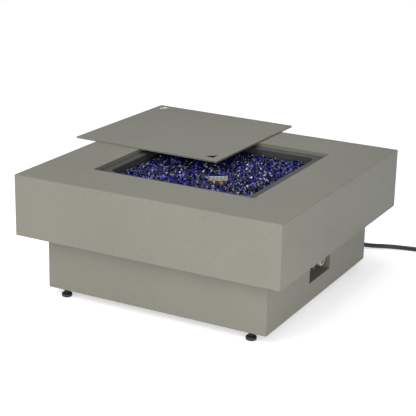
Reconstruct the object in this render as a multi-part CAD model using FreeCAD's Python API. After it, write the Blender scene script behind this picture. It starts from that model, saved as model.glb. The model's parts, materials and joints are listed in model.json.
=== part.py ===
"""Square gas fire table with a lift-off lid, a burner pan of fire glass and a gas hose.

Millimetres, +Z up. The origin is on the floor under the middle of the table. +X is the side with
the control recess and +Y is the side where the gas hose leaves.
"""
import FreeCAD, Part
import math
import os

from FreeCAD import Vector

# Table top and base
TOP_SIDE = 914.4
TOP_Z = 408.0
APRON_HEIGHT = 198.0
SKIN = 2.0
EDGE_ROUND = 1.8
BASE_SIDE = 770.0
FOOT_HEIGHT = 27.0
PANEL = 1.5

# Fire opening: a recess that takes the lid, with a ledge that carries the pan
OPENING_SIDE = 563.0
RECESS_DEPTH = 12.0
LEDGE_WIDTH = 16.0
SLIP = 0.5

# Burner pan and fire glass
PAN_INNER = 248.0
PAN_AT = (-5.0, 10.0)
PAN_SHEET = 1.5
PAN_DEPTH = 62.0
PAN_CORNER = 36.0
PAN_ROLL = 4.0
GLASS_BELOW_FLANGE = 19.0
GAP = 0.3
BURNER_RADIUS = 9.5
BURNER_WALL = 1.5
BURNER_ARM_AT = 140.0
BURNER_ARM_HALF = 150.0
BURNER_STEM = (8.0, 6.5)
BURNER_ABOVE_FLOOR = 14.0
BURNER_BELOW_FLOOR = 18.0
SHIELD_HALF = 190.0
SHIELD_DROP = 30.5
SPACER_AT = 170.0

# Lid, set down off-centre on the table top
LID_SIDE = 550.0
LID_HEIGHT = 6.0
LID_SHEET = 1.5
LID_AT = (-254.0, 269.0)
LID_TURN = -1.4
FRONT_HOLE = (30.0, 36.0)
BACK_HOLE = (20.0, 34.0)
LID_BARS = (-190.0, 0.0, 190.0)
LID_BAR_HALF = (240.0, 20.0)
LID_BAR_THICK = 3.0
LID_PAD_INSET = 11.0
LID_PAD_RADIUS = 7.0

# Frame inside the skins
TUBE = 30.0
TUBE_WALL = 2.0
POST_AT = 366.0
RAIL_WIDTH = 40.0
RAIL_HEIGHT = 20.0
RAIL_AT = 362.0
BEARER_END = 430.0

# Levelling feet
FOOT_AT = (329.0, 368.0)
PAD_RADIUS = 17.0
PAD_HEIGHT = 12.0
PAD_ROUND = 4.0
SOCKET_FLOOR = 5.5
STUD_RADIUS = 5.0
STUD_HOLE = 5.05
THREAD_RADIUS = 9.0
NUT_ACROSS = 17.0
NUT_HEIGHT = 6.0
STUD_ABOVE_RAIL = 18.0

# Control recess in the +X panel
RECESS_WIDTH = 160.0
RECESS_BOTTOM = 90.0
RECESS_TOP = 195.0
RECESS_IN = 40.0
PUSH_TRAVEL = 4.0
SLIDE_FIT = 0.06

# Gas valve and its knob
KNOB_AT = (34.0, 135.0)
KNOB_RADIUS = 22.0
KNOB_FACE = 33.0
KNOB_DEPTH = 14.0
KNOB_DISH = 9.0
KNOB_RIM = 5.0
KNOB_NECK = 12.0
POINTER_HALF = 3.5
POINTER_HEIGHT = 5.0
VALVE_BLOCK = (52.0, 12.0, 18.0)
VALVE_NECK = 13.0
OUTLET_AT = 34.0
OUTLET = (8.0, 16.0)
INLET = (9.0, 18.0)
STEM_RADIUS = 4.0
STEM_INSIDE = 22.0
COLLAR_RADIUS = 7.0
COLLAR_LENGTH = 19.0

# Battery igniter
BUTTON_AT = (-18.0, 124.0)
CAP_RADIUS = 8.5
CAP_FACE = 26.0
BEZEL = (12.0, 14.0)
IGNITER_BARREL = (12.5, 62.0)
BATTERY_RADIUS = 7.1
BATTERY_LENGTH = 46.0

# Pilot bracket standing in the glass
PILOT_AT = (71.0, -109.0)
PILOT_TURN = 32.0
PILOT_LENGTH = 60.0
PILOT_TOP = 398.0
PILOT_HEIGHT = 14.0
PILOT_HALF_WIDTH = 3.5
PILOT_BAR = 2.0
PILOT_SHEET = 2.0
BLADES = 4
BLADE_WIDTH = 9.0
PROBE_TOP = 16.0
ELECTRODE = (-12.0, 0.0, 3.5)
PROBE = (-2.0, -3.0, 3.0)

# Gas hose and regulator
HOSE_RADIUS = 7.75
HOSE_EXIT = (225.0, 64.0)
COIL_CENTRE = (672.0, 530.0)
COIL_INNER = 53.0
COIL_OUTER = 116.5
COIL_HEIGHT = 31.5
FLOOR_GAP = 0.25
TAIL_X = 752.0
TAIL_Z = 23.5
GROMMET_RADIUS = 16.0
REGULATOR_Y = 352.0
REGULATOR_RADIUS = 34.0
REGULATOR_SPLIT = 28.0
REGULATOR_BOSS = (11.0, 46.0)
SCREW_CIRCLE = 30.3
HAND_NUT_RADIUS = 20.0
HAND_NUT_LENGTH = 34.0
CYLINDER_THREAD = 16.7
NIPPLE_RADIUS = 7.0

TOP_HALF = TOP_SIDE / 2
BASE_HALF = BASE_SIDE / 2
OPENING_HALF = OPENING_SIDE / 2
APRON_BOTTOM = TOP_Z - APRON_HEIGHT
FLANGE_Z = TOP_Z - RECESS_DEPTH
PAN_FLOOR_Z = FLANGE_Z - PAN_DEPTH
GLASS_TOP = FLANGE_Z - GLASS_BELOW_FLANGE
PANEL_TOP = TOP_Z - SKIN - TUBE
RAIL_TOP = FOOT_HEIGHT + RAIL_HEIGHT
BURNER_Z = PAN_FLOOR_Z + BURNER_ABOVE_FLOOR
RECESS_BACK_X = BASE_HALF - RECESS_IN
VALVE_FACE = RECESS_BACK_X - PANEL
VALVE_X = VALVE_FACE - OUTLET_AT
NUT_START = REGULATOR_Y - 50

BEND_SHARE = 0.45

X = Vector(1, 0, 0)
Y = Vector(0, 1, 0)
Z = Vector(0, 0, 1)


def box(x0, x1, y0, y1, z0, z1):
    """A box between two limits on each axis."""
    return Part.makeBox(x1 - x0, y1 - y0, z1 - z0, Vector(x0, y0, z0))


def rod(x, y, z, radius, length, along=Z):
    """A cylinder that starts at a point and runs along an axis."""
    return Part.makeCylinder(radius, length, Vector(x, y, z), along)


def pipe(x, y, z, outer, inner, length, along=Z):
    """A hollow cylinder."""
    return rod(x, y, z, outer, length, along).cut(rod(x, y, z, inner, length, along))


def fuse(first, *others):
    """One clean solid out of several that meet."""
    return first.multiFuse(list(others)).removeSplitter()


def slab(half, z0, z1, corner=0.0):
    """A square slab about the origin, with rounded upright corners if asked."""
    solid = box(-half, half, -half, half, z0, z1)
    return round_edges(solid, corner, upright) if corner else solid


def upright(edge):
    """True for an edge along Z."""
    return abs(edge.tangentAt(edge.FirstParameter).z) > 0.99


def round_edges(solid, radius, wanted):
    """Rounds the edges that the test picks."""
    return solid.makeFillet(radius, [e for e in solid.Edges if wanted(e)])


def turned(shape, degrees, x, y):
    """A copy turned about an upright line through x, y."""
    copy = shape.copy()
    copy.rotate(Vector(x, y, 0), Z, degrees)
    return copy


def to_pan(shape):
    """A copy moved from the table's middle to the middle of the pan's well."""
    copy = shape.copy()
    copy.translate(Vector(*PAN_AT, 0))
    return copy


def quarter(shape, steps):
    """A copy turned by quarter turns about the table's middle."""
    return turned(shape, 90 * steps, 0, 0)


def prism(points, z0, z1):
    """An upright prism on a polygon of x, y points."""
    corners = [Vector(x, y, z0) for x, y in points]
    return Part.Face(Part.makePolygon(corners + corners[:1])).extrude(Vector(0, 0, z1 - z0))


def hexagon(x, y, z, across, height):
    """A hexagon prism such as a nut, across its flats."""
    reach = across / math.sqrt(3)
    turns = [math.radians(60 * k) for k in range(6)]
    return prism([(x + reach * math.cos(a), y + reach * math.sin(a)) for a in turns], z, z + height)


def arc_radius(before, corner, after):
    """The arc that two runs leave room for, and how far along each it starts."""
    one = (corner - before).normalize()
    two = (after - corner).normalize()
    turn = math.acos(max(-1.0, min(1.0, one.dot(two))))
    start = BEND_SHARE * min((corner - before).Length, (after - corner).Length)
    return start / math.tan(turn / 2), start, one, two


def tube_along(name, points, radius):
    """A round tube on straight runs joined by tangent arcs."""
    route = [Vector(*p) for p in points]
    edges = []
    at = route[0]
    radii = []
    for before, corner, after in zip(route, route[1:], route[2:]):
        bend, start, one, two = arc_radius(before, corner, after)
        into = corner - one * start
        out = corner + two * start
        middle = corner + (two - one).normalize() * (math.hypot(bend, start) - bend)
        if (into - at).Length > 1e-6:
            edges.append(Part.LineSegment(at, into).toShape())
        edges.append(Part.Arc(into, middle, out).toShape())
        at = out
        radii.append(round(bend, 1))
    edges.append(Part.LineSegment(at, route[-1]).toShape())
    path = Part.Wire(edges)
    section = Part.Wire(Part.makeCircle(radius, route[0], route[1] - route[0]))
    solid = path.makePipeShell([section], True, False)
    ratio = solid.Volume / (math.pi * radius ** 2 * path.Length)
    print(name, "length", round(path.Length, 1), "radii", radii, "volume ratio", round(ratio, 4))
    return solid


def save(name, *solids):
    """Writes one node, as one solid or as a group of separate ones."""
    shape = solids[0] if len(solids) == 1 else Part.makeCompound(list(solids))
    for solid in shape.Solids:
        if not solid.isValid():
            print("NOT VALID:", name)
    shape.exportStep(f"parts/{name}.step")
    print(name, "solids", len(shape.Solids), "litres", round(shape.Volume / 1e6, 4))


# ---------------------------------------------------------------- skins

def top_sheet():
    """The ring-shaped top plate, with its outer edges rolled over."""
    plate = slab(TOP_HALF, TOP_Z - SKIN, TOP_Z)
    plate = round_edges(plate, EDGE_ROUND, lambda e: upright(e) or e.CenterOfMass.z > TOP_Z - 0.1)
    return plate.cut(slab(OPENING_HALF, TOP_Z - SKIN - 1, TOP_Z + 1))


def recess_frame():
    """An angle welded under the opening: the recess wall and the ledge that carries the pan."""
    wall = slab(OPENING_HALF + SKIN, FLANGE_Z - 2 * SKIN, TOP_Z - SKIN)
    wall = wall.cut(slab(OPENING_HALF, FLANGE_Z - PAN_SHEET, TOP_Z))
    return wall.cut(slab(OPENING_HALF - LEDGE_WIDTH, FLANGE_Z - 3 * SKIN, TOP_Z))


def outer_apron():
    """The front apron, the full width, with its two corner edges rolled."""
    plate = box(-TOP_HALF, TOP_HALF, -TOP_HALF, -TOP_HALF + SKIN, APRON_BOTTOM, TOP_Z - SKIN)
    return round_edges(plate, EDGE_ROUND, lambda e: upright(e) and e.CenterOfMass.y < -TOP_HALF + 0.1)


def side_apron():
    """The right apron, between the front and back ones."""
    end = TOP_HALF - SKIN
    return box(TOP_HALF - SKIN, TOP_HALF, -end, end, APRON_BOTTOM, TOP_Z - SKIN)


def soffit_strip():
    """One mitred strip that closes the overhang from below."""
    inner = BASE_HALF + GAP
    outer = TOP_HALF - SKIN
    z = APRON_BOTTOM + 1.5
    return prism([(-outer, -outer), (outer, -outer), (inner, -inner), (-inner, -inner)], z, z + PANEL)


def base_front():
    """The front base panel, the full width, with rolled corner edges."""
    plate = box(-BASE_HALF, BASE_HALF, -BASE_HALF, -BASE_HALF + PANEL, FOOT_HEIGHT, PANEL_TOP)
    return round_edges(plate, 1.3, lambda e: upright(e) and e.CenterOfMass.y < -BASE_HALF + 0.1)


def base_side():
    """A side base panel, between the front and back ones."""
    end = BASE_HALF - PANEL
    return box(BASE_HALF - PANEL, BASE_HALF, -end, end, FOOT_HEIGHT, PANEL_TOP)


def recess_cutout(x0, x1, grow=0.0):
    """The control recess's opening between two x limits."""
    half = RECESS_WIDTH / 2 + grow
    return box(x0, x1, -half, half, RECESS_BOTTOM - grow, RECESS_TOP + grow)


def make_skins():
    """The visible sheet metal of the table."""
    save("top_sheet", top_sheet())
    save("recess_frame", recess_frame())
    save("apron_front", outer_apron())
    save("apron_back", quarter(outer_apron(), 2))
    save("apron_right", side_apron())
    save("apron_left", quarter(side_apron(), 2))
    save("overhang_soffit", *[quarter(soffit_strip(), k) for k in range(4)])
    save("base_front", base_front())
    hole = rod(HOSE_EXIT[0], BASE_HALF - 5, HOSE_EXIT[1], 13.0, 10, Y)
    save("base_back", quarter(base_front(), 2).cut(hole))
    save("base_left", quarter(base_side(), 2))
    save("base_right", base_side().cut(recess_cutout(BASE_HALF - 5, BASE_HALF + 5)))


# ---------------------------------------------------------------- frame

def box_tube(x0, x1, y0, y1, z0, z1, along):
    """A square tube with a 2 mm wall, open at its ends along one axis."""
    trim = [0.0 if along == axis else TUBE_WALL for axis in (X, Y, Z)]
    hollow = box(x0 + trim[0], x1 - trim[0], y0 + trim[1], y1 - trim[1], z0 + trim[2], z1 - trim[2])
    return box(x0, x1, y0, y1, z0, z1).cut(hollow)


def corner_post():
    """A square tube in the front right corner of the base."""
    near = POST_AT - TUBE / 2
    far = POST_AT + TUBE / 2
    return box_tube(near, far, -far, -near, RAIL_TOP, PANEL_TOP, Z)


def base_rail():
    """The front bottom rail, threaded through both walls for two feet."""
    end = BASE_HALF - PANEL - GAP
    half = RAIL_WIDTH / 2
    rail = box_tube(-end, end, -RAIL_AT - half, -RAIL_AT + half, FOOT_HEIGHT, RAIL_TOP, X)
    for side in (-1, 1):
        x = side * FOOT_AT[0]
        y = -FOOT_AT[1]
        thread = pipe(x, y, FOOT_HEIGHT, THREAD_RADIUS, STUD_HOLE, RAIL_HEIGHT)
        rail = rail.cut(rod(x, y, 0, THREAD_RADIUS, RAIL_TOP + 1)).fuse(thread)
    return rail.removeSplitter()


def long_bearer():
    """A tube across the front posts that carries the top plate."""
    near = POST_AT - TUBE / 2
    far = POST_AT + TUBE / 2
    return box_tube(-BEARER_END, BEARER_END, -far, -near, PANEL_TOP, TOP_Z - SKIN, X)


def short_bearer():
    """A tube between the two long bearers, on the right."""
    near = POST_AT - TUBE / 2
    far = POST_AT + TUBE / 2
    return box_tube(near, far, -near, near, PANEL_TOP, TOP_Z - SKIN, Y)


def make_frame():
    """Posts, rails and bearers hidden inside the skins."""
    save("corner_posts", *[quarter(corner_post(), k) for k in range(4)])
    save("base_rails", base_rail(), quarter(base_rail(), 2))
    bearers = [quarter(piece, k) for piece in (long_bearer(), short_bearer()) for k in (0, 2)]
    save("top_bearers", *bearers)


# ---------------------------------------------------------------- feet

def foot_pad(x, y):
    """A round moulded pad with rolled edges and a socket for the stud's ball."""
    pad = rod(x, y, 0, PAD_RADIUS, PAD_HEIGHT)
    pad = round_edges(pad, PAD_ROUND, lambda e: isinstance(e.Curve, Part.Circle))
    return pad.cut(rod(x, y, SOCKET_FLOOR, STUD_RADIUS + GAP, PAD_HEIGHT))


def foot_stud(x, y):
    """The threaded stud with its hexagon collar."""
    start = SOCKET_FLOOR + GAP
    stud = rod(x, y, start, STUD_RADIUS, RAIL_TOP + STUD_ABOVE_RAIL - start)
    return fuse(stud, hexagon(x, y, PAD_HEIGHT + GAP, NUT_ACROSS, NUT_HEIGHT))


def lock_nut(x, y):
    """The nut that locks the stud above the rail."""
    return hexagon(x, y, RAIL_TOP, NUT_ACROSS, NUT_HEIGHT).cut(rod(x, y, 0, STUD_HOLE, PANEL_TOP))


def foot_places():
    """Name and centre of each foot."""
    x, y = FOOT_AT
    return {"front_left": (-x, -y), "front_right": (x, -y), "back_right": (x, y), "back_left": (-x, y)}


def make_feet():
    """Four levelling feet and their lock nuts."""
    for name, (x, y) in foot_places().items():
        save(f"foot_pad_{name}", foot_pad(x, y))
        save(f"foot_stud_{name}", foot_stud(x, y))
    save("foot_lock_nuts", *[lock_nut(x, y) for x, y in foot_places().values()])


# ---------------------------------------------------------------- lid

def lid_to_table(shape):
    """Moves a lid piece from its own frame to where the lid lies on the table top."""
    copy = shape.copy()
    copy.translate(Vector(LID_AT[0], LID_AT[1], TOP_Z))
    return turned(copy, LID_TURN, *LID_AT)


def finger_hole(side, inset, leg):
    """A triangular hole with its right angle towards one corner, side 1 or -1."""
    corner = LID_SIDE / 2 - inset
    inner = corner - leg
    points = [(corner, -corner), (corner, -inner), (inner, -corner)]
    return prism([(side * x, side * y) for x, y in points], -1, LID_HEIGHT + 1)


def lid_panel():
    """The lid: a shallow folded tray, open below, with two finger holes."""
    half = LID_SIDE / 2
    lid = slab(half, 0.1, LID_HEIGHT)
    lid = round_edges(lid, 1.0, lambda e: upright(e) or e.CenterOfMass.z > LID_HEIGHT - 0.1)
    lid = lid.cut(slab(half - LID_SHEET, -1, LID_HEIGHT - LID_SHEET))
    return lid.cut(finger_hole(1, *FRONT_HOLE)).cut(finger_hole(-1, *BACK_HOLE))


def lid_bar(y):
    """A flat stiffener under the lid."""
    half, side = LID_BAR_HALF
    under = LID_HEIGHT - LID_SHEET
    return box(-half, half, y - side, y + side, under - LID_BAR_THICK, under)


def lid_pad(x, y):
    """A rubber pad under a corner of the lid."""
    return rod(x, y, 0.5, LID_PAD_RADIUS, LID_HEIGHT - LID_SHEET - 0.5)


def make_lid():
    """The loose lid and what is fixed under it."""
    save("lid_panel", lid_to_table(lid_panel()))
    save("lid_stiffeners", *[lid_to_table(lid_bar(y)) for y in LID_BARS])
    at = LID_SIDE / 2 - LID_PAD_INSET
    corners = [(-at, -at), (at, -at), (at, at), (-at, at)]
    save("lid_pads", *[lid_to_table(lid_pad(x, y)) for x, y in corners])


# ---------------------------------------------------------------- fire pan

def pan_section():
    """The section of the pan's wall: upright, then rolled over outwards to meet the flange."""
    bend_x = PAN_INNER + PAN_ROLL
    bend_z = FLANGE_Z - PAN_ROLL
    bottom = PAN_FLOOR_Z - PAN_SHEET
    inner = PAN_INNER
    outer = PAN_INNER + PAN_SHEET
    small = PAN_ROLL - PAN_SHEET
    slant = math.sqrt(0.5)
    over_middle = Vector(bend_x - PAN_ROLL * slant, 0, bend_z + PAN_ROLL * slant)
    over = Part.Arc(Vector(inner, 0, bend_z), over_middle, Vector(bend_x, 0, FLANGE_Z))
    under_middle = Vector(bend_x - small * slant, 0, bend_z + small * slant)
    under = Part.Arc(Vector(bend_x, 0, FLANGE_Z - PAN_SHEET), under_middle, Vector(outer, 0, bend_z))
    edges = [over.toShape(), Part.makeLine(Vector(bend_x, 0, FLANGE_Z), Vector(bend_x, 0, FLANGE_Z - PAN_SHEET))]
    edges += [under.toShape(), Part.makeLine(Vector(outer, 0, bend_z), Vector(outer, 0, bottom))]
    edges.append(Part.makeLine(Vector(outer, 0, bottom), Vector(inner, 0, bottom)))
    edges.append(Part.makeLine(Vector(inner, 0, bottom), Vector(inner, 0, bend_z)))
    return Part.Face(Part.Wire(edges))


def pan_side():
    """One straight side of the pan's wall and the corner after it."""
    straight = PAN_INNER - PAN_CORNER
    section = pan_section()
    corner = section.copy()
    corner.translate(Vector(0, straight, 0))
    side = section.copy()
    side.translate(Vector(0, -straight, 0))
    return [side.extrude(Vector(0, 2 * straight, 0)), corner.revolve(Vector(straight, straight, 0), Z, 90)]


def burner_pan():
    """A drop-in pan: a flat flange, walls that roll over into it, and a floor with its outlets."""
    under = FLANGE_Z - PAN_SHEET
    flange = slab(OPENING_HALF - SLIP, under, FLANGE_Z)
    flange = flange.cut(to_pan(slab(PAN_INNER + PAN_ROLL, under - 1, FLANGE_Z + 1, PAN_CORNER + PAN_ROLL)))
    floor = to_pan(slab(PAN_INNER, PAN_FLOOR_Z - PAN_SHEET, PAN_FLOOR_Z, PAN_CORNER))
    walls = [to_pan(quarter(piece, k)) for piece in pan_side() for k in range(4)]
    pan = fuse(flange, floor, *walls)
    pan = pan.cut(rod(0, 0, 0, BURNER_STEM[0] + 2.5, PAN_FLOOR_Z + 1))
    for along, across, radius in (ELECTRODE, PROBE):
        pan = pan.cut(pilot_piece(rod(along, across, 0, radius + GAP, PAN_FLOOR_Z + 1)))
    return pan


def burner_tubes(radius, short):
    """The H of the burner: a spine along X and two arms along Y, each end drawn in by a length."""
    reach = BURNER_ARM_AT + BURNER_RADIUS - short
    spine = rod(-reach, 0, BURNER_Z, radius, 2 * reach, X)
    half = BURNER_ARM_HALF - short
    return [spine] + [rod(x, -half, BURNER_Z, radius, 2 * half, Y) for x in (-BURNER_ARM_AT, BURNER_ARM_AT)]


def burner():
    """An H-shaped tube burner on a centre inlet."""
    outer, bore = BURNER_STEM
    bottom = PAN_FLOOR_Z - BURNER_BELOW_FLOOR
    solid = fuse(rod(0, 0, bottom, outer, BURNER_Z - bottom), *burner_tubes(BURNER_RADIUS, 0))
    hollow = burner_tubes(BURNER_RADIUS - BURNER_WALL, BURNER_WALL)
    return solid.cut(fuse(rod(0, 0, 0, bore, BURNER_Z), *hollow))


def glass_bed():
    """The bed of fire glass as one block, cut around the burner and the pilot."""
    bed = to_pan(slab(PAN_INNER - GAP, PAN_FLOOR_Z + GAP, GLASS_TOP, PAN_CORNER - GAP))
    room = BURNER_RADIUS + GAP
    cuts = [rod(0, 0, PAN_FLOOR_Z, room, BURNER_ABOVE_FLOOR)]
    cuts += burner_tubes(room, -GAP)
    half = PILOT_LENGTH / 2 + 3
    side = PILOT_HALF_WIDTH + 9
    cuts.append(pilot_piece(box(-half, half, -side, side, PAN_FLOOR_Z, TOP_Z)))
    for cut in cuts:
        bed = bed.cut(cut)
    return bed


def heat_shield():
    """A plate hung under the pan to keep heat off the valve and hose."""
    plate = slab(SHIELD_HALF, PAN_FLOOR_Z - SHIELD_DROP - PANEL, PAN_FLOOR_Z - SHIELD_DROP)
    plate = plate.cut(rod(0, 0, 0, 14, TOP_Z))
    return plate.cut(rod(*PILOT_AT, 0, 20, TOP_Z))


def shield_spacer(x, y):
    """A spacer between the pan floor and the heat shield."""
    return rod(x, y, PAN_FLOOR_Z - SHIELD_DROP, 5, SHIELD_DROP - PAN_SHEET)


def make_fire_pan():
    """The pan and everything that hangs from it."""
    save("burner_pan", burner_pan())
    save("burner", burner())
    save("glass_bed", glass_bed())
    save("heat_shield", heat_shield())
    sides = (-SPACER_AT, SPACER_AT)
    save("shield_spacers", *[shield_spacer(x, y) for x in sides for y in sides])
    nut = hexagon(0, 0, PAN_FLOOR_Z - PAN_SHEET - 5, 24.0, 5.0)
    save("burner_lock_nut", nut.cut(rod(0, 0, 0, BURNER_STEM[0], TOP_Z)))


# ---------------------------------------------------------------- pilot

def pilot_piece(shape):
    """Turns a piece drawn along X to the bracket's own direction."""
    copy = shape.copy()
    copy.translate(Vector(PILOT_AT[0], PILOT_AT[1], 0))
    return turned(copy, PILOT_TURN, *PILOT_AT)


def pilot_bracket():
    """A bent bracket: foot on the pan floor, leg, bottom bar and two upright ears."""
    half = PILOT_LENGTH / 2
    side = PILOT_HALF_WIDTH
    low = PILOT_TOP - PILOT_HEIGHT
    bar = box(-half, half, -side, side, low, low + PILOT_BAR)
    left = box(-half, -half + PILOT_SHEET, -side, side, low, PILOT_TOP)
    right = box(half - PILOT_SHEET, half, -side, side, low, PILOT_TOP)
    leg = box(4, 16, side - PANEL, side, PAN_FLOOR_Z, low + 1)
    foot = box(4, 16, -side - 3, side, PAN_FLOOR_Z, PAN_FLOOR_Z + PANEL)
    return pilot_piece(fuse(bar, leg, foot, left, right))


def flame_guard():
    """Upright steel blades on a strip between the bracket's ears."""
    half = PILOT_LENGTH / 2 - PILOT_SHEET
    low = PILOT_TOP - PILOT_HEIGHT + PILOT_BAR
    strip = box(-half, half, 2.0, 3.2, low, PILOT_TOP - 1.5)
    step = (2 * half - BLADE_WIDTH) / BLADES
    starts = [-half + step * k + 3 for k in range(BLADES)]
    blades = [box(x, x + BLADE_WIDTH, -2.5, 2.0, low + 1, PILOT_TOP - 1) for x in starts]
    return pilot_piece(fuse(strip, *blades))


def probe_rod(place, below):
    """A round probe through the pan floor, with its tip just under the bracket."""
    along, across, radius = place
    bottom = PAN_FLOOR_Z - below
    return pilot_piece(rod(along, across, bottom, radius, PILOT_TOP - PROBE_TOP - bottom))


def electrode():
    """The spark electrode's ceramic body."""
    return probe_rod(ELECTRODE, 12)


def thermocouple():
    """The flame-failure probe beside the electrode."""
    return probe_rod(PROBE, 14)


def make_pilot():
    """The pilot bracket and the two probes on it."""
    save("pilot_bracket", pilot_bracket())
    save("flame_guard", flame_guard())
    save("spark_electrode", electrode())
    save("thermocouple", thermocouple())


# ---------------------------------------------------------------- controls

def control_box():
    """The five-sided tray let into the right panel, with holes for the knob stem and the button."""
    outer = recess_cutout(RECESS_BACK_X - PANEL, BASE_HALF - PANEL, PANEL)
    tray = outer.cut(recess_cutout(RECESS_BACK_X, BASE_HALF + 1))
    tray = tray.cut(rod(RECESS_BACK_X - 10, *KNOB_AT, 9.0, 20, X))
    return tray.cut(rod(RECESS_BACK_X - 10, *BUTTON_AT, 10.2, 20, X))


def gas_valve():
    """The valve body behind the tray, with an outlet upward and an inlet toward the back."""
    y, z = KNOB_AT
    back, front, half = VALVE_BLOCK
    block = box(VALVE_FACE - back, VALVE_FACE - front, y - half, y + half, z - half, z + half)
    neck = rod(VALVE_FACE - front, y, z, VALVE_NECK, front, X)
    outlet = rod(VALVE_X, y, z + half, *OUTLET)
    inlet = rod(VALVE_X, y + half, z, *INLET, Y)
    bore = rod(VALVE_FACE - STEM_INSIDE - 8, y, z, COLLAR_RADIUS + SLIDE_FIT, STEM_INSIDE + 10, X)
    return fuse(block, neck, outlet, inlet).cut(bore)


def stem_collar():
    """The sliding collar that takes the push; the stem turns inside it."""
    start = VALVE_FACE - COLLAR_LENGTH - 1
    return pipe(start, *KNOB_AT, COLLAR_RADIUS, STEM_RADIUS + SLIDE_FIT, COLLAR_LENGTH, X)


def knob_stem():
    """The valve stem, from inside the valve to the knob."""
    length = STEM_INSIDE + PANEL + KNOB_FACE - KNOB_DISH - 3
    return rod(VALVE_FACE - STEM_INSIDE, *KNOB_AT, STEM_RADIUS, length, X)


def control_knob():
    """The flame knob: a neck, a deep round rim with a dished face, and a low pointer bar."""
    y, z = KNOB_AT
    face = RECESS_BACK_X + KNOB_FACE
    floor = face - KNOB_DISH
    rim = rod(face - KNOB_DEPTH, y, z, KNOB_RADIUS, KNOB_DEPTH, X)
    rim = round_edges(rim, 1.5, lambda e: isinstance(e.Curve, Part.Circle))
    rim = rim.cut(rod(floor, y, z, KNOB_RADIUS - KNOB_RIM, KNOB_DISH + 1, X))
    start = RECESS_BACK_X + PUSH_TRAVEL + 2
    neck = rod(start, y, z, KNOB_NECK, floor - start, X)
    reach = KNOB_RADIUS - KNOB_RIM + 1
    pointer = box(floor - 1, floor + POINTER_HEIGHT, y - POINTER_HALF, y + POINTER_HALF, z - reach, z + reach)
    return fuse(rim, neck, pointer).cut(knob_stem())


def igniter_body():
    """The battery igniter's housing, clamped through the tray."""
    y, z = BUTTON_AT
    radius, length = IGNITER_BARREL
    sleeve = rod(VALVE_FACE - length, y, z, radius, length, X)
    body = fuse(sleeve, rod(VALVE_FACE, y, z, 10.0, PANEL + BEZEL[1], X))
    body = body.cut(rod(VALVE_FACE - length + 2, y, z, BATTERY_RADIUS + 0.4, 50, X))
    return body.cut(rod(VALVE_FACE - 10.5, y, z, CAP_RADIUS + 0.1, 40, X))


def igniter_nut():
    """The bezel nut that clamps the igniter."""
    radius, length = BEZEL
    return pipe(RECESS_BACK_X, *BUTTON_AT, radius, 10.0, length, X)


def igniter_cap():
    """The push button."""
    front = RECESS_BACK_X + CAP_FACE
    cap = rod(VALVE_FACE - 5, *BUTTON_AT, CAP_RADIUS, front - VALVE_FACE + 5, X)
    return round_edges(cap, 1.2, lambda e: e.CenterOfMass.x > front - 0.1)


def igniter_battery():
    """The cell inside the igniter."""
    start = VALVE_FACE - IGNITER_BARREL[1] + 2.5
    cell = rod(start, *BUTTON_AT, BATTERY_RADIUS, BATTERY_LENGTH, X)
    return fuse(cell, rod(start + BATTERY_LENGTH, *BUTTON_AT, 2.5, 1.5, X))


def make_controls():
    """The recess tray, the valve with its knob, and the igniter."""
    save("control_box", control_box())
    save("gas_valve", gas_valve())
    save("stem_collar", stem_collar())
    save("knob_stem", knob_stem())
    save("control_knob", control_knob())
    save("igniter_body", igniter_body())
    save("igniter_nut", igniter_nut())
    save("igniter_cap", igniter_cap())
    save("igniter_battery", igniter_battery())


# ---------------------------------------------------------------- gas line inside

MIXER_TOP = PAN_FLOOR_Z - BURNER_BELOW_FLOOR
MIXER_LENGTH = 40.0
ORIFICE_LENGTH = 12.0
ORIFICE_BOTTOM = MIXER_TOP - MIXER_LENGTH - ORIFICE_LENGTH


def air_mixer():
    """The mixing tube under the burner, with four air windows."""
    mixer = pipe(0, 0, MIXER_TOP - MIXER_LENGTH, 12, 9, MIXER_LENGTH)
    window = box(-20, 20, -3, 3, MIXER_TOP - 30, MIXER_TOP - 12)
    return mixer.cut(window).cut(turned(window, 90, 0, 0))


def feed_route():
    """The tube from the valve's outlet up and over to the orifice under the burner."""
    y, z = KNOB_AT
    start = z + VALVE_BLOCK[2] + OUTLET[1]
    rise = [(VALVE_X, y, start), (VALVE_X, y, start + 28), (VALVE_X - 45, y, start + 50)]
    across = [(190, y - 8, start + 42), (105, y - 20, start + 22), (28, y - 26, start + 24)]
    return rise + across + [(0, 0, start + 50), (0, 0, ORIFICE_BOTTOM)]


def supply_route():
    """The hose inside the base, from the valve's inlet to the grommet."""
    y = KNOB_AT[0] + VALVE_BLOCK[2] + INLET[1]
    z = KNOB_AT[1]
    x, exit_z = HOSE_EXIT
    first = [(VALVE_X, y, z), (VALVE_X, y + 60, z), (VALVE_X - 12, y + 140, z - 30)]
    return first + [(282, 270, 86), (x, 318, exit_z), (x, BASE_HALF - 8, exit_z)]


def lead_route():
    """The spark lead from the igniter to the electrode."""
    y, z = BUTTON_AT
    start = VALVE_FACE - IGNITER_BARREL[1]
    end = electrode().BoundBox
    under = (end.Center.x, end.Center.y)
    route = [(start, y, z), (start - 30, y, z), (start - 50, y - 14, z + 40), (200, y - 40, z + 100)]
    return route + [(120, -90, 255), (*under, 262), (*under, end.ZMin)]


def make_gas_line():
    """The mixer, the tubes and the spark lead inside the base."""
    save("air_mixer", air_mixer())
    save("gas_orifice", rod(0, 0, ORIFICE_BOTTOM, 10, ORIFICE_LENGTH))
    save("burner_feed_tube", tube_along("burner_feed_tube", feed_route(), 6.0))
    save("supply_tube", tube_along("supply_tube", supply_route(), HOSE_RADIUS))
    save("ignition_wire", tube_along("ignition_wire", lead_route(), 1.75))


# ---------------------------------------------------------------- hose outside and regulator

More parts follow.
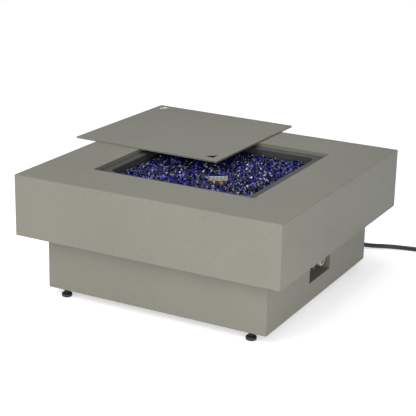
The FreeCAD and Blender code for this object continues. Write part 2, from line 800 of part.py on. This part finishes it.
def hose_route():
    """The hose from the grommet down to the floor and round to the coil."""
    x, z = HOSE_EXIT
    floor = HOSE_RADIUS + FLOOR_GAP
    route = [(x, BASE_HALF - 8, z), (x, BASE_HALF + 50, z), (x + 18, 497, z - 20), (280, 530, 22)]
    route += [(330, 557, 9.5), (408, 598, floor), (495, 616, floor), (588, 631, floor)]
    route += [(COIL_CENTRE[0], COIL_CENTRE[1] + COIL_OUTER - HOSE_RADIUS, floor)]
    return route


def hose_coil():
    """The outer shape of the wound hose: a flat ring with rounded edges."""
    x, y = COIL_CENTRE
    ring = pipe(x, y, FLOOR_GAP, COIL_OUTER, COIL_INNER, COIL_HEIGHT)
    return round_edges(ring, 6.0, lambda e: isinstance(e.Curve, Part.Circle))


def hose_grommet():
    """The strain relief in the back panel: a collar each side and a tapered nose."""
    x, z = HOSE_EXIT
    inside = BASE_HALF - PANEL
    inner = rod(x, inside - 3, z, GROMMET_RADIUS, 3, Y)
    neck = rod(x, inside - 1, z, GROMMET_RADIUS - 3.1, 3, Y)
    outer = rod(x, BASE_HALF, z, GROMMET_RADIUS, 4, Y)
    nose = Part.makeCone(GROMMET_RADIUS - 3, GROMMET_RADIUS - 6, 20, Vector(x, BASE_HALF + 4, z), Y)
    return fuse(inner, neck, outer, nose).cut(rod(x, inside - 20, z, HOSE_RADIUS + 0.05, 60, Y))


def regulator_body():
    """The regulator's cast lower half, with the hose boss and the inlet boss on one line."""
    bowl = Part.makeCone(24, 31, 10, Vector(TAIL_X, REGULATOR_Y, FLOOR_GAP), Z)
    rim = rod(TAIL_X, REGULATOR_Y, 10 + FLOOR_GAP, REGULATOR_RADIUS, REGULATOR_SPLIT - 10)
    radius, reach = REGULATOR_BOSS
    boss = rod(TAIL_X, REGULATOR_Y - reach, TAIL_Z, radius, 2 * reach, Y)
    return fuse(bowl, rim, boss).cut(rod(TAIL_X, REGULATOR_Y, REGULATOR_SPLIT + FLOOR_GAP, 50, 30))


def regulator_cover():
    """The domed cover with its vent boss."""
    low = REGULATOR_SPLIT + FLOOR_GAP
    rim = rod(TAIL_X, REGULATOR_Y, low, REGULATOR_RADIUS, 4)
    dome = Part.makeCone(27, 20, 12, Vector(TAIL_X, REGULATOR_Y, low + 4), Z)
    cover = round_edges(fuse(rim, dome), 3.0, lambda e: e.CenterOfMass.z > low + 15.9)
    return fuse(cover, rod(TAIL_X + 14, REGULATOR_Y + 24, low + 4, 4, 5))


def regulator_screw(k):
    """One of the cover's rim screws."""
    angle = math.radians(60 * k + 30)
    x = TAIL_X + SCREW_CIRCLE * math.cos(angle)
    y = REGULATOR_Y + SCREW_CIRCLE * math.sin(angle)
    return rod(x, y, REGULATOR_SPLIT + 4 + FLOOR_GAP, 2.4, 2)


def hose_ferrule():
    """The crimped sleeve on the end of the hose."""
    start = REGULATOR_Y + REGULATOR_BOSS[1]
    sleeve = pipe(TAIL_X, start + 8, TAIL_Z, 10.0, HOSE_RADIUS, 26, Y)
    return fuse(rod(TAIL_X, start, TAIL_Z, 10.0, 8, Y), sleeve)


def inlet_nipple():
    """The inlet nipple that the hand nut turns on, with a retaining head."""
    end = NUT_START - 12
    stem = rod(TAIL_X, end + 2, TAIL_Z, NIPPLE_RADIUS, 14, Y)
    return fuse(stem, rod(TAIL_X, end, TAIL_Z, NIPPLE_RADIUS + 2, 3, Y))


def hand_nut():
    """The ribbed hand nut that screws on a gas cylinder's valve."""
    nut = rod(TAIL_X, NUT_START, TAIL_Z, HAND_NUT_RADIUS, HAND_NUT_LENGTH, -Y)
    ribs = []
    for k in range(12):
        angle = math.radians(30 * k)
        x = TAIL_X + HAND_NUT_RADIUS * math.cos(angle)
        z = TAIL_Z + HAND_NUT_RADIUS * math.sin(angle)
        ribs.append(rod(x, NUT_START - 2, z, 2.8, HAND_NUT_LENGTH - 4, -Y))
    nut = fuse(nut, *ribs)
    nut = nut.cut(rod(TAIL_X, NUT_START + 1, TAIL_Z, NIPPLE_RADIUS + SLIDE_FIT, 40, -Y))
    nut = nut.cut(rod(TAIL_X, NUT_START - 7, TAIL_Z, NIPPLE_RADIUS + 2.5, 8, -Y))
    return nut.cut(rod(TAIL_X, NUT_START - 14, TAIL_Z, CYLINDER_THREAD, HAND_NUT_LENGTH, -Y))


def make_hose():
    """The free hose, its coil and the regulator on its end."""
    save("hose_grommet", hose_grommet())
    save("hose_lead", tube_along("hose_lead", hose_route(), HOSE_RADIUS))
    save("hose_coil", hose_coil())
    tail_start = COIL_CENTRE[1] - 80
    tail_end = REGULATOR_Y + REGULATOR_BOSS[1] + 8
    save("hose_tail", rod(TAIL_X, tail_end, TAIL_Z, HOSE_RADIUS, tail_start - tail_end, Y))
    save("hose_ferrule", hose_ferrule())
    save("regulator_body", regulator_body())
    save("regulator_cover", regulator_cover())
    save("regulator_screws", *[regulator_screw(k) for k in range(6)])
    save("inlet_nipple", inlet_nipple())
    save("hand_nut", hand_nut())


def main():
    """Writes every node."""
    os.makedirs("parts", exist_ok=True)
    make_skins()
    make_frame()
    make_feet()
    make_lid()
    make_fire_pan()
    make_pilot()
    make_controls()
    make_gas_line()
    make_hose()


main()
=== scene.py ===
"""Looks of the square gas fire table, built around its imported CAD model. Metres, +Z up."""

import json
import math

import bmesh
import bpy
import numpy as np
from mathutils import Matrix, Vector


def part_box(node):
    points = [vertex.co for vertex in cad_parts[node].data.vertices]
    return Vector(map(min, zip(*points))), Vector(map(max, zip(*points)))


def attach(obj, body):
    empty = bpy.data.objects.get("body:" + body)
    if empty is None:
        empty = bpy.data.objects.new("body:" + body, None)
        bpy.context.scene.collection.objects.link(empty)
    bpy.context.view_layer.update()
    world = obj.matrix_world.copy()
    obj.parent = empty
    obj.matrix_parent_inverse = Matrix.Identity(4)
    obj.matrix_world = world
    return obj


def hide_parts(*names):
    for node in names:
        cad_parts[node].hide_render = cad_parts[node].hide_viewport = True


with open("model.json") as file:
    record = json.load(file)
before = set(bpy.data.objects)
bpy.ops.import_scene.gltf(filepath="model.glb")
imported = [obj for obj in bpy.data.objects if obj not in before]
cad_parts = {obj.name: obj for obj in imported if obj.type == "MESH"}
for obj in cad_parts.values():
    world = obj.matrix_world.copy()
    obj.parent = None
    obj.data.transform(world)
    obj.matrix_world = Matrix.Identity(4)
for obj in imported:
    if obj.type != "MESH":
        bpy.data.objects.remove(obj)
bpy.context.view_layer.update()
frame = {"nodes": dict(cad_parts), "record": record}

# ---------------------------------------------------------------- camera

CAMERA_AZIMUTH = math.radians(27.969)
CAMERA_ELEVATION = math.radians(18.253)
CAMERA_ROLL = math.radians(1.205)
CAMERA_DISTANCE = 3.6188
CAMERA_TARGET = Vector((0.20946, -0.43320, 0.408))
CAMERA_LENS = 109.24


def add_camera():
    """A camera in front of the table, to the right of its middle and looking down at it."""
    forward = Vector((
        -math.sin(CAMERA_AZIMUTH) * math.cos(CAMERA_ELEVATION),
        math.cos(CAMERA_AZIMUTH) * math.cos(CAMERA_ELEVATION),
        -math.sin(CAMERA_ELEVATION),
    ))
    level = forward.cross(Vector((0, 0, 1))).normalized()
    above = level.cross(forward)
    right = level * math.cos(CAMERA_ROLL) + above * math.sin(CAMERA_ROLL)
    up = above * math.cos(CAMERA_ROLL) - level * math.sin(CAMERA_ROLL)
    data = bpy.data.cameras.new("camera")
    data.lens = CAMERA_LENS
    data.clip_end = 50
    camera = bpy.data.objects.new("camera", data)
    turn = Matrix((right, up, -forward)).transposed().to_4x4()
    camera.matrix_world = Matrix.Translation(CAMERA_TARGET - forward * CAMERA_DISTANCE) @ turn
    bpy.context.collection.objects.link(camera)
    bpy.context.scene.camera = camera


add_camera()

# ---------------------------------------------------------------- the gas hose

HOSE_DIAMETER = 0.0155
FLOOR = 0.008
COIL_CENTRE = (0.672, 0.530)
HOSE_LEAD = [
    (0.225, 0.377, 0.064), (0.225, 0.435, 0.064), (0.243, 0.497, 0.044), (0.280, 0.530, 0.022),
    (0.330, 0.557, 0.0095), (0.408, 0.598, FLOOR), (0.495, 0.616, FLOOR), (0.588, 0.631, FLOOR),
]
COIL_START = 0.10875
COIL_LOW_TURNS = 3
COIL_STEPS = 16
CLIMB_TURNS = 0.25
UPPER_GAP = 0.002
SPREAD_FROM = 0.2
SPREAD_TURNS = 1.05
TAIL_X = 0.752
TAIL_Z = 0.0235
TAIL_YS = (COIL_CENTRE[1], 0.490, 0.448, 0.406)


def coil_points():
    """Clockwise turns: three spiral inwards on the floor, one and a quarter lie on them."""
    points = []
    last_low = COIL_LOW_TURNS * COIL_STEPS
    total = last_low + COIL_STEPS + COIL_STEPS // 4
    inner = COIL_START - COIL_LOW_TURNS * HOSE_DIAMETER
    outer = TAIL_X - COIL_CENTRE[0]
    for k in range(total):
        turns = k / COIL_STEPS
        if k <= last_low:
            radius = COIL_START - HOSE_DIAMETER * turns
            height = FLOOR
        else:
            over = turns - COIL_LOW_TURNS
            rise = min(1.0, over / CLIMB_TURNS)
            spread = max(0.0, over - SPREAD_FROM)
            radius = inner - UPPER_GAP + (outer - inner + UPPER_GAP) * spread / SPREAD_TURNS
            height = FLOOR + (TAIL_Z - FLOOR) * rise
        angle = math.pi / 2 - 2 * math.pi * turns
        x = COIL_CENTRE[0] + radius * math.cos(angle)
        y = COIL_CENTRE[1] + radius * math.sin(angle)
        points.append((x, y, height))
    return points


def hose_points():
    """The whole route: out of the grommet, along the floor, round the coil and to the regulator."""
    tail = [(TAIL_X, y, TAIL_Z) for y in TAIL_YS]
    return HOSE_LEAD + coil_points() + tail


def spline_curve(name, points, diameter):
    """A round cord on one smooth open spline."""
    data = bpy.data.curves.new(name, "CURVE")
    data.dimensions = "3D"
    data.bevel_depth = 1.0
    data.bevel_resolution = 6
    data.resolution_u = 8
    data.use_fill_caps = True
    spline = data.splines.new("NURBS")
    spline.points.add(len(points) - 1)
    for point, place in zip(spline.points, points):
        point.co = (*place, 1.0)
        point.radius = diameter / 2
    spline.order_u = 3
    spline.use_endpoint_u = True
    curve = bpy.data.objects.new(name, data)
    bpy.context.collection.objects.link(curve)
    return curve


hose = spline_curve("gas_hose", hose_points(), HOSE_DIAMETER)
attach(hose, "table")
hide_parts("hose_lead", "hose_coil", "hose_tail")

# ---------------------------------------------------------------- material tools

COAT_RELIEF = 0.00012
METAL_RELIEF = 0.00003
MOULD_RELIEF = 0.00005
GLASS_RELIEF = 0.0004


def new_material(name):
    """A node material with its shader, its node tree and a coordinate node."""
    material = bpy.data.materials.new(name)
    material.use_nodes = True
    tree = material.node_tree
    shader = next(n for n in tree.nodes if n.type == "BSDF_PRINCIPLED")
    place = tree.nodes.new("ShaderNodeTexCoord").outputs["Object"]
    return material, tree, shader, place


def noise(tree, place, scale, detail=4.0, roughness=0.55, stretch=None):
    """A noise value from 0 to 1, with its grain in the object's own metres."""
    if stretch:
        mapping = tree.nodes.new("ShaderNodeMapping")
        mapping.inputs["Scale"].default_value = stretch
        tree.links.new(place, mapping.inputs["Vector"])
        place = mapping.outputs["Vector"]
    node = tree.nodes.new("ShaderNodeTexNoise")
    node.inputs["Scale"].default_value = scale
    node.inputs["Detail"].default_value = detail
    node.inputs["Roughness"].default_value = roughness
    tree.links.new(place, node.inputs["Vector"])
    return node.outputs["Fac"]


def ramp(tree, value, stops):
    """A colour ramp with (place, colour) stops."""
    node = tree.nodes.new("ShaderNodeValToRGB")
    elements = node.color_ramp.elements
    while len(elements) < len(stops):
        elements.new(0.5)
    for element, (at, colour) in zip(elements, stops):
        element.position = at
        element.color = (*colour, 1.0)
    tree.links.new(value, node.inputs["Fac"])
    return node.outputs["Color"]


def span(tree, value, low, high):
    """A 0 to 1 value stretched onto another range."""
    node = tree.nodes.new("ShaderNodeMapRange")
    node.inputs["To Min"].default_value = low
    node.inputs["To Max"].default_value = high
    tree.links.new(value, node.inputs["Value"])
    return node.outputs["Result"]


def bump(tree, shader, value, distance, strength, below=None):
    """Adds a bump of a depth in metres, over another bump if given."""
    node = tree.nodes.new("ShaderNodeBump")
    node.inputs["Strength"].default_value = strength
    node.inputs["Distance"].default_value = distance
    tree.links.new(value, node.inputs["Height"])
    if below:
        tree.links.new(below, node.inputs["Normal"])
    tree.links.new(node.outputs["Normal"], shader.inputs["Normal"])
    return node.outputs["Normal"]


def shade(colour, factor):
    """A colour made lighter or darker."""
    return tuple(min(1.0, c * factor) for c in colour)


def mixed(tree, one, two, share):
    """Two 0 to 1 values blended."""
    node = tree.nodes.new("ShaderNodeMix")
    node.inputs["Factor"].default_value = share
    tree.links.new(one, node.inputs["A"])
    tree.links.new(two, node.inputs["B"])
    return node.outputs["Result"]


def coated(name, colour, rough, variation=0.05, grain=900.0):
    """Powder coat: faint mottling, a fine orange-peel surface and uneven sheen."""
    material, tree, shader, place = new_material(name)
    broad = noise(tree, place, 3.5, detail=5.0, roughness=0.6)
    fine = noise(tree, place, 130.0, roughness=0.7)
    cloud = mixed(tree, broad, fine, 0.55)
    tint = ramp(tree, cloud, [(0.3, shade(colour, 1 - variation)), (0.7, shade(colour, 1 + variation))])
    tree.links.new(tint, shader.inputs["Base Color"])
    sheen = span(tree, noise(tree, place, 40.0), rough - 0.06, rough + 0.06)
    tree.links.new(sheen, shader.inputs["Roughness"])
    shader.inputs["Specular IOR Level"].default_value = 0.35
    coarse = bump(tree, shader, noise(tree, place, grain / 3, detail=2.0), COAT_RELIEF, 0.25)
    bump(tree, shader, noise(tree, place, grain, detail=3.0), COAT_RELIEF, 0.35, below=coarse)
    return material


def metal(name, colour, rough, stretch=(1, 1, 1), grain=300.0):
    """Bare metal with drawn or brushed streaks."""
    material, tree, shader, place = new_material(name)
    streak = noise(tree, place, grain, detail=5.0, roughness=0.6, stretch=stretch)
    tint = ramp(tree, streak, [(0.2, shade(colour, 0.82)), (0.8, shade(colour, 1.12))])
    tree.links.new(tint, shader.inputs["Base Color"])
    tree.links.new(span(tree, streak, rough - 0.08, rough + 0.12), shader.inputs["Roughness"])
    shader.inputs["Metallic"].default_value = 1.0
    bump(tree, shader, streak, METAL_RELIEF, 0.3)
    return material


def moulded(name, colour, rough, variation=0.15, grain=1400.0):
    """Moulded plastic or rubber with a fine spark-eroded grain and a little dust."""
    material, tree, shader, place = new_material(name)
    cloud = noise(tree, place, 60.0, detail=5.0)
    tint = ramp(tree, cloud, [(0.3, shade(colour, 1 - variation)), (0.8, shade(colour, 1 + variation))])
    tree.links.new(tint, shader.inputs["Base Color"])
    tree.links.new(span(tree, cloud, rough - 0.08, rough + 0.08), shader.inputs["Roughness"])
    bump(tree, shader, noise(tree, place, grain, detail=2.0), MOULD_RELIEF, 0.3)
    return material


def glass_chip(name, colour, rough, metallic=0.0, variation=0.5):
    """One facet of reflective fire glass, its tone different from chip to chip."""
    material, tree, shader, place = new_material(name)
    lump = tree.nodes.new("ShaderNodeNewGeometry").outputs["Random Per Island"]
    tint = ramp(tree, lump, [(0.0, shade(colour, 1 - variation)), (1.0, shade(colour, 1 + variation))])
    tree.links.new(tint, shader.inputs["Base Color"])
    shader.inputs["Metallic"].default_value = metallic
    sheen = span(tree, noise(tree, place, 150.0), rough * 0.6, rough * 1.6)
    tree.links.new(sheen, shader.inputs["Roughness"])
    shader.inputs["IOR"].default_value = 1.52
    bump(tree, shader, noise(tree, place, 400.0, detail=2.0), GLASS_RELIEF, 0.25)
    return material


# ---------------------------------------------------------------- materials on the CAD nodes

SAGE = (0.207, 0.200, 0.163)
FINISHES = {
    "powder_coat": coated("powder_coat", SAGE, 0.5, variation=0.10),
    # The inside coat is the outside sage made a tenth darker: painted shade on the inner faces, where the
    # recesses and the overhang keep the light off.
    "powder_coat_inside": coated("powder_coat_inside", shade(SAGE, 0.9), 0.6),
    "frame_steel": coated("frame_steel", (0.03, 0.03, 0.032), 0.45, variation=0.2),
    "pan_black": coated("pan_black", (0.064, 0.063, 0.061), 0.42, variation=0.12, grain=1200.0),
    "stainless": metal("stainless", (0.62, 0.6, 0.57), 0.28, stretch=(1, 1, 12)),
    "guard_steel": coated("guard_steel", (0.50, 0.53, 0.52), 0.35, variation=0.1, grain=1500.0),
    "galvanised": metal("galvanised", (0.55, 0.56, 0.57), 0.45, grain=60.0),
    "zinc_screws": metal("zinc_screws", (0.68, 0.68, 0.7), 0.25),
    "stud_steel": metal("stud_steel", (0.05, 0.05, 0.052), 0.4),
    "foot_rubber": moulded("foot_rubber", (0.016, 0.016, 0.017), 0.5),
    "lid_rubber": moulded("lid_rubber", (0.02, 0.02, 0.02), 0.6),
    "yellow_zinc": coated("yellow_zinc", (0.60, 0.40, 0.17), 0.3, variation=0.12, grain=1500.0),
    "ceramic_white": moulded("ceramic_white", (0.8, 0.79, 0.75), 0.2, variation=0.03),
    "brass": metal("brass", (0.78, 0.58, 0.27), 0.28),
    "ferrule_brass": metal("ferrule_brass", (0.72, 0.55, 0.3), 0.32),
    "valve_alloy": metal("valve_alloy", (0.6, 0.6, 0.6), 0.4, grain=500.0),
    "knob_silver": moulded("knob_silver", (0.42, 0.41, 0.36), 0.3, variation=0.05),
    "black_plastic": moulded("black_plastic", (0.014, 0.014, 0.015), 0.6),
    "button_black": moulded("button_black", (0.01, 0.01, 0.01), 0.25),
    "battery_case": moulded("battery_case", (0.08, 0.08, 0.09), 0.35),
    "feed_tube": metal("feed_tube", (0.7, 0.7, 0.7), 0.35),
    "hose_rubber": moulded("hose_rubber", (0.012, 0.012, 0.014), 0.28, variation=0.3, grain=700.0),
    "wire_sleeve": moulded("wire_sleeve", (0.42, 0.05, 0.03), 0.4),
    "regulator_paint": coated("regulator_paint", (0.3, 0.31, 0.32), 0.4, variation=0.06, grain=1500.0),
    "hand_nut_plastic": moulded("hand_nut_plastic", (0.014, 0.014, 0.014), 0.42),
}


def finish_nodes():
    """Gives every CAD node the material of its record slot."""
    for part in frame["record"]["subparts"]:
        node = frame["nodes"][part["node"]]
        finish = FINISHES.get(part["material_slot"])
        if finish:
            node.data.materials.clear()
            node.data.materials.append(finish)


finish_nodes()
hose.data.materials.append(FINISHES["hose_rubber"])

# ---------------------------------------------------------------- fire glass

GLASS_SEED = 7
CHIP_PITCH = 0.0098
CHIP_SIZE = (0.0052, 0.0100)
CHIP_SHAPES = 48
CHIP_CORNERS = (8, 12)
CHIP_REACH = (0.8, 1.1)
CHIP_WIDTH = (0.55, 0.95)
CHIP_THICKNESS = (0.4, 0.75)
FACET_ANGLE = math.radians(18)
CHIP_JITTER = (-0.45, 0.45)
CHIP_RISE = (-0.0020, 0.0030)
TOP_DROP = 0.0035
LAYER_DROP = 0.0075
HEAP_HEIGHTS = (0.0018, 0.0014)
HEAP_WAVES = (23, 19, 31)
HEAP_BEND = 4
BED_CORNER = 0.03
EDGE_CLEAR = CHIP_SIZE[1] * 0.8
PROBE_CLEAR = 0.011
GLASS_FINISHES = [
    glass_chip("glass_navy", (0.006, 0.006, 0.060), 0.12),
    glass_chip("glass_blue", (0.012, 0.010, 0.26), 0.10),
    glass_chip("glass_bright", (0.035, 0.03, 0.62), 0.2, metallic=0.3, variation=0.3),
    glass_chip("glass_mirror", (0.24, 0.24, 0.25), 0.34, metallic=1.0, variation=0.55),
    glass_chip("glass_black", (0.005, 0.005, 0.008), 0.15),
]
FACET_SHARES = (0.38, 0.17, 0.06, 0.21, 0.18)


def chip_shape(random):
    """A tumbled chip: the hull of a few points on a squashed ball, as points and polygons."""
    count = random.integers(*CHIP_CORNERS)
    points = random.normal(size=(count, 3))
    points /= np.linalg.norm(points, axis=1)[:, None]
    points *= random.uniform(*CHIP_REACH, (count, 1))
    points *= (1.0, random.uniform(*CHIP_WIDTH), random.uniform(*CHIP_THICKNESS))
    return hull_of(points)


def hull_of(points):
    """The convex hull of some points, with nearly flat neighbours joined into facets."""
    hull = bmesh.new()
    verts = [hull.verts.new(p) for p in points]
    made = bmesh.ops.convex_hull(hull, input=verts)
    loose = [v for v in made["geom_interior"] if isinstance(v, bmesh.types.BMVert)]
    bmesh.ops.delete(hull, geom=loose, context="VERTS")
    bmesh.ops.dissolve_limit(hull, angle_limit=FACET_ANGLE, verts=hull.verts, edges=hull.edges)
    bmesh.ops.recalc_face_normals(hull, faces=hull.faces)
    hull.verts.index_update()
    places = np.array([v.co for v in hull.verts])
    faces = [[v.index for v in f.verts] for f in hull.faces]
    hull.free()
    return places, faces


def random_turn(random):
    """A random rotation matrix."""
    q = random.normal(size=4)
    w, x, y, z = q / np.linalg.norm(q)
    return np.array([
        [1 - 2 * (y * y + z * z), 2 * (x * y - z * w), 2 * (x * z + y * w)],
        [2 * (x * y + z * w), 1 - 2 * (x * x + z * z), 2 * (y * z - x * w)],
        [2 * (x * z - y * w), 2 * (y * z + x * w), 1 - 2 * (x * x + y * y)],
    ])


def inside_pan(x, y, half, corner):
    """True inside a square with rounded corners."""
    past_x = max(0.0, abs(x) - (half - corner))
    past_y = max(0.0, abs(y) - (half - corner))
    return abs(x) <= half and abs(y) <= half and math.hypot(past_x, past_y) <= corner


def heap(x, y):
    """How far the bed stands above or below its level at a place."""
    long_wave, bend_wave, short_wave = HEAP_WAVES
    ridges = HEAP_HEIGHTS[0] * math.sin(long_wave * x + HEAP_BEND * math.sin(bend_wave * y))
    return ridges + HEAP_HEIGHTS[1] * math.sin(short_wave * y)


def chip_places(random, middle, half, top):
    """Centres of the chips: two jittered layers, heaped a little here and there."""
    steps = int(2 * half / CHIP_PITCH)
    places = []
    for layer in range(2):
        for i in range(steps + 1):
            for j in range(steps + 1):
                x = -half + CHIP_PITCH * (i + 0.5 * layer) + random.uniform(*CHIP_JITTER) * CHIP_PITCH
                y = -half + CHIP_PITCH * (j + 0.5 * layer) + random.uniform(*CHIP_JITTER) * CHIP_PITCH
                z = top - TOP_DROP - LAYER_DROP * layer + heap(x, y) + random.uniform(*CHIP_RISE)
                if inside_pan(x, y, half, BED_CORNER):
                    places.append((middle[0] + x, middle[1] + y, z))
    return places


def clear_of(place, boxes):
    """True where a chip is outside each piece's box as seen from above, with room for its own size."""
    for low, high in boxes:
        if all(low[k] - PROBE_CLEAR < place[k] < high[k] + PROBE_CLEAR for k in (0, 1)):
            return False
    return True


def build_glass():
    """The bed of chips as one mesh."""
    random = np.random.default_rng(GLASS_SEED)
    shapes = [chip_shape(random) for _ in range(CHIP_SHAPES)]
    low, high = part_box("glass_bed")
    middle = ((low[0] + high[0]) / 2, (low[1] + high[1]) / 2)
    half = (high[0] - low[0]) / 2 - EDGE_CLEAR
    probes = [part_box(name) for name in ("spark_electrode", "thermocouple")]
    points, faces, finishes = [], [], []
    count = 0
    for place in chip_places(random, middle, half, high[2]):
        if not clear_of(place, probes):
            continue
        shape, polygons = shapes[random.integers(CHIP_SHAPES)]
        turned = (shape * random.uniform(*CHIP_SIZE)) @ random_turn(random).T + np.array(place)
        points.append(turned)
        faces += [[count + v for v in polygon] for polygon in polygons]
        finishes += list(random.choice(len(FACET_SHARES), size=len(polygons), p=FACET_SHARES))
        count += len(turned)
    mesh = bpy.data.meshes.new("fire_glass")
    mesh.from_pydata(np.concatenate(points).tolist(), [], faces)
    for material in GLASS_FINISHES:
        mesh.materials.append(material)
    mesh.polygons.foreach_set("material_index", np.array(finishes, dtype=np.int32))
    mesh.update()
    chips = bpy.data.objects.new("fire_glass", mesh)
    bpy.context.collection.objects.link(chips)
    return chips


fire_glass = build_glass()
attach(fire_glass, "table")
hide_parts("glass_bed")

# ---------------------------------------------------------------- studio

FLOOR_REACH = 30.0
FLOOR_GLOW = 0.54
FLOOR_TONES = (0.90, 0.92)
SURROUND_FACING = (-0.60, -0.75, 0.25)
SURROUND = (0.05, 0.85)
SURROUND_TINT = (0.96, 0.985, 1.05, 1)

# Each lamp's name, place, aim, side in metres, power in watts and colour.
LAMPS = [
    ("key", (-0.7, -2.1, 1.7), (0, 0, 0.25), 1.4, 18.5, (1.0, 0.975, 0.91)),
    ("fill", (1.35, -1.6, 0.75), (0.4, -0.4, 0.2), 0.9, 10, (1.0, 0.99, 0.96)),
    ("top", (0.1, 0.1, 1.9), (0.1, 0, 0.4), 1.0, 12, (0.97, 0.98, 1.0)),
]


def add_light(name, place, aim, size, power, colour):
    """A soft square lamp that faces a point."""
    data = bpy.data.lights.new(name, "AREA")
    data.shape = "SQUARE"
    data.size = size
    data.energy = power
    data.color = colour
    lamp = bpy.data.objects.new(name, data)
    lamp.location = place
    lamp.rotation_euler = (Vector(aim) - Vector(place)).to_track_quat("-Z", "Y").to_euler()
    bpy.context.collection.objects.link(lamp)


def add_floor():
    """A white floor, a little brighter than its light alone would make it."""
    mesh = bpy.data.meshes.new("floor")
    reach = FLOOR_REACH
    corners = [(-reach, -reach, 0), (reach, -reach, 0), (reach, reach, 0), (-reach, reach, 0)]
    mesh.from_pydata(corners, [], [(0, 1, 2, 3)])
    floor = bpy.data.objects.new("floor", mesh)
    bpy.context.collection.objects.link(floor)
    material, tree, shader, place = new_material("floor_paper")
    tint = ramp(tree, noise(tree, place, 3.0), [(at, (tone,) * 3) for at, tone in enumerate(FLOOR_TONES)])
    tree.links.new(tint, shader.inputs["Base Color"])
    shader.inputs["Roughness"].default_value = 0.9
    shader.inputs["Specular IOR Level"].default_value = 0.1
    shader.inputs["Emission Color"].default_value = (1, 1, 1, 1)
    shader.inputs["Emission Strength"].default_value = FLOOR_GLOW
    mesh.materials.append(material)


def add_surround():
    """A pale surround, brightest at the front left and dimmer behind on the right."""
    world = bpy.data.worlds.new("studio")
    world.use_nodes = True
    tree = world.node_tree
    facing = tree.nodes.new("ShaderNodeVectorMath")
    facing.operation = "DOT_PRODUCT"
    tree.links.new(tree.nodes.new("ShaderNodeTexCoord").outputs["Generated"], facing.inputs[0])
    facing.inputs[1].default_value = SURROUND_FACING
    dimming = tree.nodes.new("ShaderNodeMapRange")
    dimming.inputs["From Min"].default_value = -1.0
    dimming.inputs["To Min"].default_value = SURROUND[0]
    dimming.inputs["To Max"].default_value = SURROUND[1]
    tree.links.new(facing.outputs["Value"], dimming.inputs["Value"])
    tree.links.new(dimming.outputs["Result"], tree.nodes["Background"].inputs["Strength"])
    tree.nodes["Background"].inputs["Color"].default_value = SURROUND_TINT
    bpy.context.scene.world = world


add_floor()
add_surround()
for lamp in LAMPS:
    add_light(*lamp)
bpy.context.scene.view_settings.view_transform = "Standard"

bpy.context.view_layer.update()
